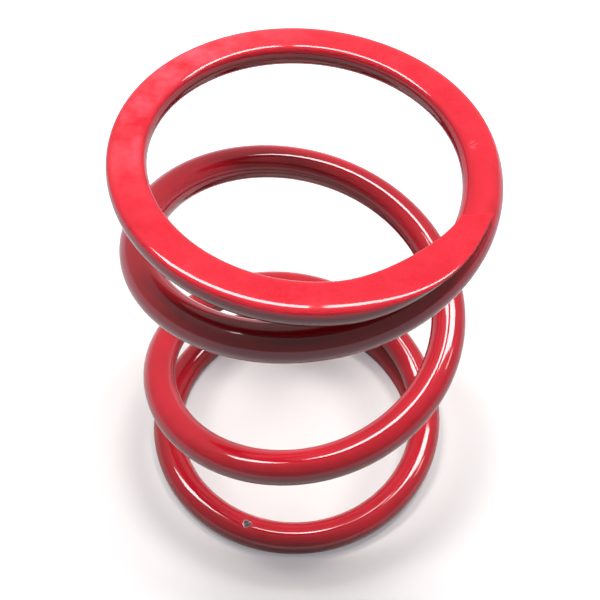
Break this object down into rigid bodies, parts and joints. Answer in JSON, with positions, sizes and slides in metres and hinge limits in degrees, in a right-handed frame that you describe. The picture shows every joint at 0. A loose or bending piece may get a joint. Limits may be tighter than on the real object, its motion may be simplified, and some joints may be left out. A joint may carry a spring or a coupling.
{
  "type": "compression coil spring",
  "caption": "Round-wire clutch compression spring, right-hand wound, with closed level ends ground flat and a glossy red coat of paint.",
  "frame": {"origin": "centre of the coil at the lower ground face, on the coil's axis", "axes": "+Z along the coil's axis, from the lower ground face to the upper one; -Y towards the picture's viewer, with the upper tip at the front right"},
  "size_m": [0.0602, 0.0602, 0.0813],
  "materials": {
    "paint": "gloss red paint on steel wire"
  },
  "bodies": {
    "root": {"spring_coil": "paint"}
  },
  "joints": []
}
